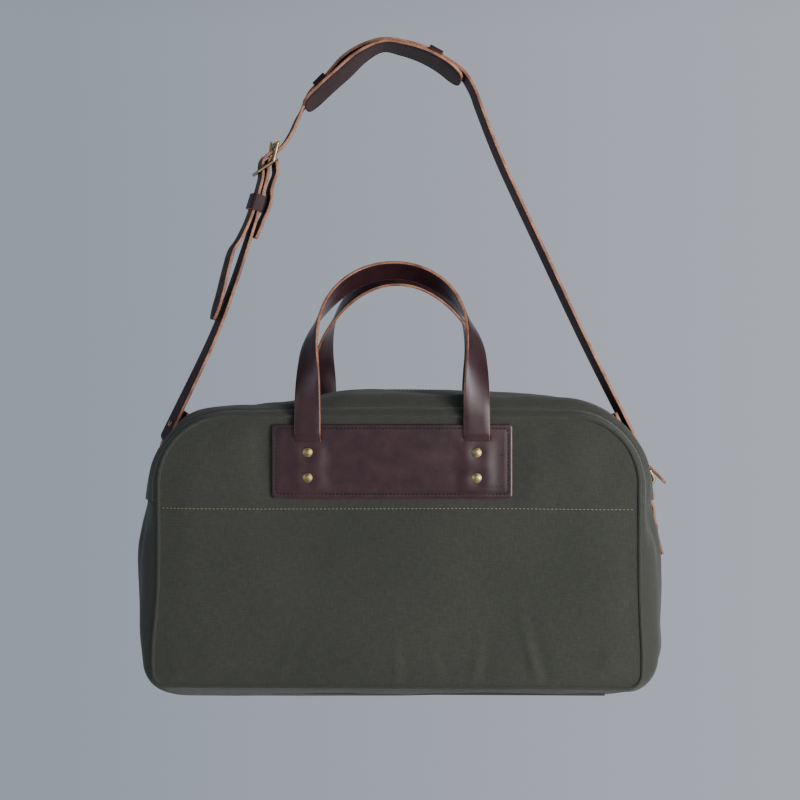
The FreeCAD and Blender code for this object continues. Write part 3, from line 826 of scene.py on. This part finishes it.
def build_patch(side, sign):
    """A stitched leather patch with two slots that the handles pass through."""
    w = HANDLE_W / 2 + 0.6
    left, right = PATCH_X - PATCH_W / 2, PATCH_X + PATCH_W / 2
    bottom = PATCH_TOP_Z - PATCH_H
    stops = [left, left + 3.4, left + 5.0]
    for leg in (-1, 1):
        stops += [PATCH_X + leg * LEG_HALF - w, PATCH_X + leg * LEG_HALF + w]
    stops += [right - 5.0, right - 3.4, right]
    xs = even_lines(stops, 1.9)
    zs = even_lines([bottom, bottom + 3.4, bottom + 5.0, SLOT_Z - 2.6, SLOT_Z + 2.6,
                     PATCH_TOP_Z - 5.0, PATCH_TOP_Z - 3.4, PATCH_TOP_Z], 1.9)
    gx, gz = np.meshgrid(xs, zs)
    out = patch_relief(gx, gz)
    for cx, cz in ((left, bottom), (left, PATCH_TOP_Z), (right, bottom), (right, PATCH_TOP_Z)):
        near = np.exp(-(np.hypot(gx - cx, gz - cz) / 1.6) ** 2)
        gx = gx + np.sign(PATCH_X - cx) * near
        gz = gz + np.sign(PATCH_TOP_Z - PATCH_H / 2 - cz) * near
    points = np.dstack((gx, sign * (PATCH_FACE + out), gz)).reshape(-1, 3)
    faces = []
    for i, j, face in grid_faces(len(zs), len(xs)):
        x, z = (xs[j] + xs[j + 1]) / 2, (zs[i] + zs[i + 1]) / 2
        in_slot = abs(z - SLOT_Z) < 2.6 and abs(abs(x - PATCH_X) - LEG_HALF) < w
        if not in_slot:
            faces.append(face if sign < 0 else face[::-1])
    obj = add_mesh(side + "_patch_leather", points, faces, [LEATHER, EDGE])
    skin = obj.modifiers.new("skin", "SOLIDIFY")
    skin.thickness = PATCH_T * 0.8 * MM
    skin.offset = -1
    skin.material_offset_rim = 1
    apply_modifiers(obj)
    soft = obj.modifiers.new("edge", "BEVEL")
    soft.width = 0.6 * MM
    soft.segments = 3
    soft.limit_method = "ANGLE"
    apply_modifiers(obj)
    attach(obj, "bag")
    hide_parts(side + "_patch", side + "_handle_ends")

    path = rounded_loop(left + STITCH_INSET, right - STITCH_INSET, bottom + STITCH_INSET,
                        PATCH_TOP_Z - STITCH_INSET, 4.0)
    path.append(path[0])
    line = np.array([(x, sign * (PATCH_FACE - 0.35), z) for x, z in path])
    dense = [line[0]]
    for a, b in zip(line[:-1], line[1:]):
        steps = max(1, int(np.linalg.norm(b - a) / 3.0))
        dense += [a + (b - a) * k / steps for k in range(1, steps + 1)]
    dense = np.array(dense)
    ups = repeat((0, sign, 0), dense)
    across = unit(np.cross(np.gradient(dense, axis=0) + 1e-6, ups))
    # near-black stitches: thread colour plus painted shade of the stitch holes along the groove
    seam = join_parts(side + "_patch_stitches", [stitches(dense, across, ups, 3.9, 2.9, 0.72)], [THREAD_AND_HOLE_SHADE])
    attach(seam, "bag")


# (radius, height) of a domed cap and of the burr behind it
RIVET_PROFILE = ((5.5, 0.0), (5.5, 0.7), (5.15, 1.3), (4.3, 1.75), (3.9, 1.7), (3.55, 1.95),
                 (2.4, 2.35), (1.2, 2.5), (0.2, 2.55))
BURR_PROFILE = ((4.5, 0.0), (4.5, 0.9), (3.8, 1.4), (1.8, 1.5), (1.6, 2.1), (0.2, 2.2))


def build_rivets():
    for side, sign in SIDES:
        parts = []
        for leg in (-1, 1):
            for z in RIVET_HEIGHTS:
                x = PATCH_X + leg * LEG_HALF
                parts.append(turned_profile(RIVET_PROFILE, np.array((x, sign * PATCH_FACE, z)), (0, sign, 0)))
                back = np.array((x, sign * (HALF_DEPTH - 3.0), z))
                parts.append(turned_profile(BURR_PROFILE, back, (0, -sign, 0)))
        obj = join_parts(side + "_rivet_caps", parts, [BRASS])
        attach(obj, "bag")
        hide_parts(side + "_rivets")


def handle_line(sign):
    """The handle from its riveted end behind the patch, out of the slot, over the arch and back."""
    points, sides = [], []
    count = 90
    leg = ARCH_START_Z - (SLOT_Z + 1)
    arc = math.pi / 2 * (LEG_HALF + ARCH_RISE) / 2
    for i in range(count + 1):
        s = (leg + arc) * 2 * i / count
        near = min(s, 2 * (leg + arc) - s)
        turn = max(0.0, near - leg) / arc * math.pi / 2
        hand = -1 if i <= count / 2 else 1
        x = hand * LEG_HALF * math.cos(turn)
        z = ARCH_START_Z + ARCH_RISE * math.sin(turn) if near > leg else SLOT_Z + 1 + near
        lean = 60.0 * (max(0.0, z + 400.0) / 150.0) ** 1.6
        y = sign * (PATCH_FACE + HANDLE_STANDOFF - lean)
        twist = math.radians(117) * math.sin(math.pi / 2 * min(1.0, near / 200.0)) ** 2
        inward = np.array((-hand * math.cos(turn), -sign * 0.31 * math.sin(turn), -math.sin(turn) * 0.95))
        outward = np.array((0.0, sign * 0.95, 0.31))
        points.append((PATCH_X + x, y, z))
        sides.append(inward * math.cos(twist) + outward * math.sin(twist))
    tail = [(z, 0.9) for z in (-480.0, -455.0, -438.0)] + [(SLOT_Z - 5, 1.5), (SLOT_Z - 2, 3.6)]
    first, last = [[(PATCH_X + hand * LEG_HALF, sign * (HALF_DEPTH + out), z) for z, out in tail]
                   for hand in (-1, 1)]
    points = first + points + last[::-1]
    sides = [(1.0, 0.0, 0.0)] * len(first) + sides + [(-1.0, 0.0, 0.0)] * len(last)
    return np.array(points), np.array(sides)


def build_handles():
    for name, sign in SIDES:
        points, sides = handle_line(sign)
        obj = leather_strip(name + "_handle_strap", points, sides, HANDLE_W, LEATHER_T, face=LEATHER)
        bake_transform(obj)
        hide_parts(name + "_handle")


def build_chapes():
    """The leather loop that holds each D-ring, sewn down the end panel; the right one's cut end curls away.
    """
    for name, sign in (("left", -1), ("right", 1)):
        loop = [(BAG_X + sign * (RING_HALF + LOOP_R * math.cos(a)), RING_FOOT_Z + LOOP_R * math.sin(a))
                for a in np.linspace(math.radians(-80), math.radians(235), 16)]
        curl = ((285.2, -556), (283.2, -548), (279.8, -536), (276.6, -518), (275.4, -506))
        lie = ((274.2, -556), (273.6, -548), (273.4, -536), (273.6, -518), (274.6, -506))
        outer = [(BAG_X + sign * d, z) for d, z in (curl if sign > 0 else lie)]
        path = outer + loop + [(BAG_X + sign * 268.5, -504.0), (BAG_X + sign * 268.5, -512.0)]
        points = smooth_path([(a, 0.0, b) for a, b in path], 70)
        obj = leather_strip(name + "_chape_leather", points, repeat((0, 1, 0), points), 23.0, 2.6)
        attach(obj, "bag")
        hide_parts(name + "_chape")
        centre = np.array((BAG_X + sign * (278.9 if sign > 0 else 274.6), 0.0, -527.0))
        cap = [(r * 0.78, h) for r, h in RIVET_PROFILE]
        rivet = join_parts(name + "_chape_cap", [turned_profile(cap, centre, (sign, 0, 0.12))], [BRASS])
        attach(rivet, "bag")
        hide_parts(name + "_chape_rivet")
        groups = []
        for y in (-9.0, 9.0):
            outside = np.abs(points[:, 0] - BAG_X) > 273
            line = points[(points[:, 2] < -503) & (points[:, 2] > -550) & outside]
            line = line + np.array((sign * 1.35, y, 0.0))
            groups.append(stitches(line, repeat((0, 1, 0), line), repeat((sign, 0, 0), line), 3.6, 2.6, 0.4))
        seam = join_parts(name + "_chape_stitches", groups, [THREAD_TAN])
        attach(seam, "bag")


# ---- the shoulder strap ----
def between(low, high, start, end, t):
    return (end - t) / (end - start) * low + (t - start) / (end - start) * high


def smooth_path(marks, count):
    """Evenly spaced points on a smooth curve through given marks."""
    marks = np.array(marks, float)
    padded = np.vstack((2 * marks[0] - marks[1], marks, 2 * marks[-1] - marks[-2]))
    dense = []
    for i in range(len(marks) - 1):
        a, b, c, d = padded[i:i + 4]
        ts = [0.0]
        for p, q in ((a, b), (b, c), (c, d)):
            ts.append(ts[-1] + max(1e-6, np.linalg.norm(q - p)) ** 0.5)
        for t in np.linspace(ts[1], ts[2], 12, endpoint=False):
            centre = between(b, c, ts[1], ts[2], t)
            early = between(between(a, b, ts[0], ts[1], t), centre, ts[0], ts[2], t)
            late = between(centre, between(c, d, ts[2], ts[3], t), ts[1], ts[3], t)
            dense.append(between(early, late, ts[1], ts[2], t))
    dense.append(marks[-1])
    return resample(np.array(dense), 1.0, count)


def strap_side(p):
    """The strap's width direction: it turns over the shoulder pad, and again down to the left ring."""
    yaw = 22.0 * ease((p[0] + 45.0) / 80.0) - 9.0
    low = 13.0 + min(20.0, max(0.0, 20.0 * (-60.0 - p[2]) / 370.0))
    yaw = yaw + (low - yaw) * ease((-74.0 - p[0]) / 22.0)
    return np.array((math.sin(math.radians(yaw)), -math.cos(math.radians(yaw)), 0.0))


def eye_frame(eye, strand):
    """The strap's width direction at a hook's eye, and the direction away from the bag's middle."""
    side = strap_side(eye)
    across = unit(side - strand * np.dot(side, strand))
    away = np.cross(strand, across)
    return across, (away if away[0] * strand[0] > 0 else -away)


def fold(centre, first, second):
    """Half a turn round an eye or a bar."""
    angles = np.linspace(0, math.pi, 15)
    return np.array([centre + first * FOLD_R * math.cos(a) + second * FOLD_R * math.sin(a) for a in angles])


def flat_marks(pairs):
    """Marks (x, z) of a line in the plane y = 0."""
    return [(x, 0.0, z) for x, z in pairs]


def build_long_strap():
    """From the right hook over the shoulder, through the buckle and down to its free end."""
    strand = unit(STRAND_RIGHT)
    across, away = eye_frame(EYE_RIGHT, strand)
    inner = EYE_RIGHT - away * FOLD_R
    foot = np.vstack(([inner - strand * d for d in TURNED_END[::-1]], fold(EYE_RIGHT, -away, strand)))
    marks = [EYE_RIGHT + away * FOLD_R - strand * 12]
    marks += flat_marks([
        (221.0, -324.0), (175.0, -226.0), (127.0, -122.0), (105.5, -67.0), (98.5, -48.0), (86.5, -29.0),
        (64.5, -13.0), (44.0, -2.2), (22.0, 4.5), (0.0, 7.4), (-22.0, 0.8), (-42.0, -12.0), (-64.0, -36.5),
        (-80.0, -52.5), (-92.7, -75.0), (-101.0, -93.0), (-108.5, -105.0), (-117.0, -113.5), (-126.5, -117.6),
        (-133.2, -123.5), (-134.8, -131.5), (-134.4, -139.8), (-136.4, -150.2), (-139.9, -162.4),
        (-145.1, -178.9), (-151.1, -194.7), (-159.9, -212.0), (-167.3, -223.0), (-172.8, -241.5),
        (-180.5, -273.0), (-188.5, -299.5)])
    run = smooth_path(marks, 420)
    points = np.vstack((foot, run))
    sides = np.vstack((repeat(across, foot), [strap_side(p) for p in run]))
    widths = np.ones(len(points))
    for i in range(10):
        widths[-1 - i] = math.sqrt(1 - (1 - (i + 0.6) / 10.6) ** 2)
    obj = leather_strip("long_strap_leather", points, sides, STRAP_W, LEATHER_T, widths)
    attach(obj, "strap")
    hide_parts("strap_long")

    # the punched holes down the free end, drawn as thin near-black discs on both faces: painted shade
    # standing in for open holes
    normal = frames_along(points, sides)[2]
    travel = distances(points)
    parts = []
    hole_shade_profile = ((2.3, 0.02), (2.3, 0.12), (1.9, 0.16), (1.8, 0.05), (0.1, 0.04))
    for back in (24, 46, 68, 90):
        i = int(np.searchsorted(travel, travel[-1] - back))
        for s in (-1, 1):
            parts.append(turned_profile(hole_shade_profile, points[i] + normal[i] * s * LEATHER_T / 2, normal[i] * s, 16))
    hole_shade_discs = join_parts("strap_hole_shade_discs", parts, [THREAD_AND_HOLE_SHADE])
    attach(hole_shade_discs, "strap")


def build_short_strap():
    """From inside the keeper up round the buckle's bar and down to the left hook."""
    strand = unit(STRAND_LEFT)
    across, away = eye_frame(EYE_LEFT, strand)
    bar_side = strap_side(CENTRE_BAR)
    level = np.array((-bar_side[1], bar_side[0], 0.0))
    inner = flat_marks([
        (-142.5, -209.4), (-139.6, -203.3), (-134.0, -190.0), (-128.6, -178.0), (-125.6, -168.0),
        (-125.4, -158.0), (-122.6, -148.0), (-118.9, -138.0), (-119.2, -130.0)])
    down = flat_marks([
        (-128.4, -133.0), (-129.6, -142.0), (-131.6, -150.2), (-134.9, -162.4), (-139.8, -178.9),
        (-142.6, -190.3),
        (-146.2, -201.8), (-152.6, -221.6), (-166.6, -263.0), (-186.0, -314.0)])
    down.append(EYE_LEFT + away * FOLD_R - strand * 12)
    upper = smooth_path(inner, 50)
    top = fold(CENTRE_BAR, level, np.array((0.0, 0.0, 1.0)))
    lower = smooth_path(down, 150)
    far = EYE_LEFT - away * FOLD_R
    foot = np.vstack((fold(EYE_LEFT, away, strand), [far - strand * d for d in TURNED_END]))
    points = np.vstack((upper, top, lower, foot))
    sides = np.vstack(([strap_side(p) for p in upper], repeat(bar_side, top),
                       [strap_side(p) for p in lower], repeat(across, foot)))
    obj = leather_strip("short_strap_leather", points, sides, STRAP_W, LEATHER_T)
    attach(obj, "strap")
    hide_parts("strap_short")


def build_pad():
    """The shoulder pad: one thick leather strip with rounded ends and a stitched border."""
    under = flat_marks([(-86, -68), (-61, -44.5), (-44, -29.5), (-22, -10.5), (0, 0), (22, -3.4),
                        (44, -10.6), (64, -21.5), (86, -39)])
    points = smooth_path(under, 90) + np.array((0.0, 0.0, LEATHER_T / 2))
    sides = np.array([strap_side((max(q[0], -74.0), 0.0, 0.0)) for q in points])
    travel = np.linspace(0, 1, len(points))
    end = np.minimum(travel, 1 - travel) / 0.085
    widths = np.where(end < 1, 0.42 + 0.58 * np.sqrt(np.clip(1 - (1 - end) ** 2, 0, 1)), 1.0)
    obj = leather_strip("pad_leather", points, sides, PAD_W, LEATHER_T, widths)
    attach(obj, "strap")
    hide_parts("shoulder_pad")
    _, across, normal = frames_along(points, sides)
    groups = []
    for s in (-1, 1):
        line = points + across * (s * PAD_W / 2 * widths - s * 4.0)[:, None]
        for face in (-1, 1):
            raised = line + normal * face * LEATHER_T / 2
            groups.append(stitches(raised, across, normal * face, 4.0, 3.0, 0.42))
    seam = join_parts("pad_stitches", groups, [THREAD_AND_HOLE_SHADE])
    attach(seam, "strap")


def build_band(name, node, body, centre, down, side, wide, low, high, length, thick=2.0):
    """A closed leather band around a strap."""
    down = unit(np.array(down, float))
    across = unit(side - down * np.dot(side, down))
    up = np.cross(down, across)
    loop = rounded_loop(-wide, wide, low, high, 2.6, 6)
    points = np.array([np.array(centre, float) + across * a + up * b for a, b in loop])
    verts, faces, slots = strip_parts(points, repeat(down, points), length, thick, closed=True)
    obj = add_mesh(name, verts, faces, [BRIDLE, EDGE], slots)
    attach(obj, body)
    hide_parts(node)


def build_bands():
    middle = (-139.8, 0, -170.6)
    build_band("keeper_leather", "keeper", "keeper", middle, (-0.3, 0, -0.954), strap_side(middle),
               STRAP_W / 2 + 2.2, -6.6, 6.6, 18.0)
    for name, x, z, slope in (("left", -67.0, -39.4, 45), ("right", 57.0, -8.6, -29)):
        down = (math.cos(math.radians(slope)), 0, math.sin(math.radians(slope)))
        build_band(name + "_pad_loop", "pad_loops", "strap", (x, 0, z), down, strap_side((x, 0, z)),
                   STRAP_W / 2 + 2.0, -3.9, 2.9, 16.0, 1.8)


def build_strap_rivets():
    parts = []
    cap = [(r * 0.76, h * 0.8) for r, h in RIVET_PROFILE]
    for eye, strand in ((EYE_RIGHT, unit(STRAND_RIGHT)), (EYE_LEFT, unit(STRAND_LEFT))):
        away = eye_frame(eye, strand)[1]
        middle = eye - strand * 16
        for s in (-1, 1):
            parts.append(turned_profile(cap, middle + away * s * 6.0, away * s))
    obj = join_parts("strap_rivet_caps", parts, [BRASS])
    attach(obj, "strap")
    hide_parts("strap_rivets")


LINK_PROFILE = ((0.5, 0.0), (0.85, 0.3), (0.85, 6.2), (0.4, 6.8))


def build_pulls():
    """The leather pull of each zip slider, with its wire link."""
    saddle = np.array((BAG_X + SADDLE_HALF - SADDLE_R, 0.0, SADDLE_TOP_Z - SADDLE_R))
    for name, angle, sign, tip in (("upper", 50.0, 1, (285.5, 37, -451)),
                                   ("lower", 41.0, -1, (303, -46, -476))):
        a = math.radians(angle)
        root = saddle + np.array((math.cos(a), 0.0, math.sin(a))) * (SADDLE_R + 5)
        root = root + np.array((0.0, sign * 10.6, 0.0))
        tip = np.array(tip, float)
        along = unit(tip - root)
        side = unit(np.array((0.0, 1.0, 0.0)) - along * along[1])
        up = np.cross(along, side)
        travel = np.linspace(0, 1, 26)
        points = root + (tip - root) * travel[:, None] + up * (np.sin(travel * math.pi) * 1.2)[:, None]
        widths = 0.72 + 0.28 * ease(travel / 0.45)
        widths[-3:] = (0.93, 0.8, 0.55)
        leather = strip_parts(points, repeat(side, points), 9.0, 2.9, widths)
        link_start = root - np.array((0.0, sign * 5.0, 0.0))
        link = turned_profile(LINK_PROFILE, link_start, root + along * 3 - link_start, 10)
        obj = join_parts(name + "_pull_leather", [leather, (*link[:2], 2)], [LEATHER, EDGE, BRASS])
        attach(obj, "pull_" + name)
        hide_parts("zip_pull_" + name)


def finish_hardware():
    """Gives the metal CAD nodes an aged brass finish, and the hook bodies and zip sliders rounded edges."""
    metal = ["buckle_frame", "buckle_roller", "buckle_prong", "zip_slider_upper", "zip_slider_lower"]
    for name in ("left", "right"):
        metal += [name + part for part in ("_hook_eye", "_hook_body", "_hook_bolt", "_dring")]
    for name in metal:
        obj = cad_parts[name]
        obj.data.materials.clear()
        obj.data.materials.append(BRASS)
        if name.endswith("hook_body") or "slider" in name:
            modifier = obj.modifiers.new("soft_edge", "BEVEL")
            modifier.width = 0.5 * MM
            modifier.segments = 2
            modifier.limit_method = "ANGLE"
    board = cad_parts["base_board"]
    board.data.materials.clear()
    board.data.materials.append(BOARD)


# ---- the studio ----
def area_light(name, place, size, energy, colour):
    data = bpy.data.lights.new(name, "AREA")
    data.shape = "RECTANGLE"
    data.size, data.size_y = size
    data.energy = energy
    data.color = colour
    obj = bpy.data.objects.new(name, data)
    obj.location = place
    aim = Vector((0.02, 0.0, -0.45)) - Vector(place)
    obj.rotation_euler = aim.to_track_quat("-Z", "Y").to_euler()
    bpy.context.collection.objects.link(obj)
    return obj


def world_light():
    """A plain wall all round, brighter toward the right, and a dark ceiling."""
    world = bpy.data.worlds.new("studio")
    bpy.context.scene.world = world
    world.use_nodes = True
    tree = world.node_tree
    toward = tree.nodes.new("ShaderNodeTexCoord")
    split = tree.nodes.new("ShaderNodeSeparateXYZ")
    tree.links.new(toward.outputs["Generated"], split.inputs["Vector"])

    def share(axis, low, high):
        node = tree.nodes.new("ShaderNodeMapRange")
        tree.links.new(split.outputs[axis], node.inputs["Value"])
        node.inputs["From Min"].default_value = low
        node.inputs["From Max"].default_value = high
        return node.outputs["Result"]

    wall = tree.nodes.new("ShaderNodeMixRGB")
    wall.inputs["Color1"].default_value = (0.325, 0.368, 0.445, 1)
    wall.inputs["Color2"].default_value = (0.475, 0.495, 0.56, 1)
    tree.links.new(share("X", -0.22, 0.22), wall.inputs["Fac"])
    sky = tree.nodes.new("ShaderNodeMixRGB")
    tree.links.new(share("Z", 0.22, 0.6), sky.inputs["Fac"])
    tree.links.new(wall.outputs["Color"], sky.inputs["Color1"])
    sky.inputs["Color2"].default_value = (0.045, 0.048, 0.055, 1)
    tree.links.new(sky.outputs["Color"], tree.nodes["Background"].inputs["Color"])


def studio():
    world_light()
    area_light("key", (1.32, -1.5, -0.42), (0.8, 1.1), 43, (1.0, 0.985, 0.96))
    area_light("front", (0.8, -1.95, -0.1), (0.8, 0.9), 8, (1.0, 0.99, 0.97))
    area_light("fill", (-1.6, -1.5, -0.1), (1.0, 1.4), 5, (0.88, 0.94, 1.0))
    for name, spot, power in (("back", (1.5, 1.9, -0.4), 26), ("back_fill", (-1.3, 2.0, -0.3), 30)):
        area_light(name, spot, (1.2, 0.9), power, (1.0, 1.0, 1.0)).visible_glossy = False
    size = 2600.0
    corners = ((-size, -size, 0), (size, -size, 0), (size, size, 0), (-size, size, 0))
    floor = add_mesh("floor", corners, [(0, 1, 2, 3)], [floor_material()])
    floor.location.z = -1.6


def floor_material():
    n = Nodes("pale_floor")
    cloud = n.texture("TexNoise", n.add("TexCoord").outputs["Object"], Scale=3.0, Detail=3.0)
    n.surface("Base Color", n.ramp(cloud.outputs["Fac"], (0.52, 0.54, 0.57), (0.56, 0.58, 0.61)))
    n.surface("Roughness", 0.8)
    return n.material


def camera():
    """At the height of the zip, a little to the right of the bag's middle."""
    data = bpy.data.cameras.new("camera")
    data.lens = 73.6
    data.sensor_width = 36.0
    obj = bpy.data.objects.new("camera", data)
    yaw = math.radians(1.7)
    aim = Vector((0.0187, 0.0, -0.388))
    obj.location = aim + Vector((math.sin(yaw), -math.cos(yaw), 0.0)) * 1.8
    obj.rotation_euler = (math.radians(90), 0.0, yaw)
    bpy.context.collection.objects.link(obj)
    bpy.context.scene.camera = obj


camera()
studio()
build_zip(*build_gusset())
for side_and_sign in SIDES:
    build_panel(*side_and_sign)
    build_piping(*side_and_sign)
    build_patch(*side_and_sign)
build_rivets()
build_handles()
build_chapes()
build_long_strap()
build_short_strap()
build_pad()
build_bands()
build_strap_rivets()
build_pulls()
finish_hardware()
